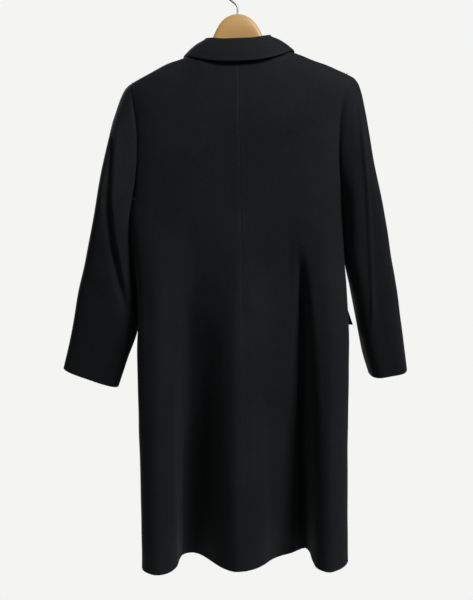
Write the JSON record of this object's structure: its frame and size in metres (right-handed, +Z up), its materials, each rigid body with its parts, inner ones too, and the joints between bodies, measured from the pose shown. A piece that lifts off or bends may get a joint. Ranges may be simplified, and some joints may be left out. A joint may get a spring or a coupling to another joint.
{
  "type": "wool overcoat on a wooden coat hanger",
  "caption": "Knee-length single-breasted wool overcoat with notched lapels and flap pockets, hanging from a wooden coat hanger with a steel hook.",
  "frame": {"origin": "inside top of the hanger's hook, where a rail carries it", "axes": "+Z up, the coat's front faces -Y, the wearer's left is +X"},
  "size_m": [0.6886, 0.1896, 1.1249],
  "materials": {
    "wool": "matte brushed wool coating cloth",
    "buttons": "semi-gloss",
    "hanger_wood": "satin varnish",
    "hanger_steel": "satin"
  },
  "bodies": {
    "root": {"back_left": "wool", "front_left": "wool", "upper_sleeve_left": "wool", "under_sleeve_left": "wool", "lapel_left": "wool", "pocket_flap_left": "wool", "back_right": "wool", "front_right": "wool", "upper_sleeve_right": "wool", "under_sleeve_right": "wool", "lapel_right": "wool", "pocket_flap_right": "wool", "collar_fall": "wool", "collar_stand": "wool", "button_1": "buttons", "button_2": "buttons", "button_3": "buttons", "hanger_body": "hanger_wood", "hanger_hook": "hanger_steel"}
  },
  "joints": []
}
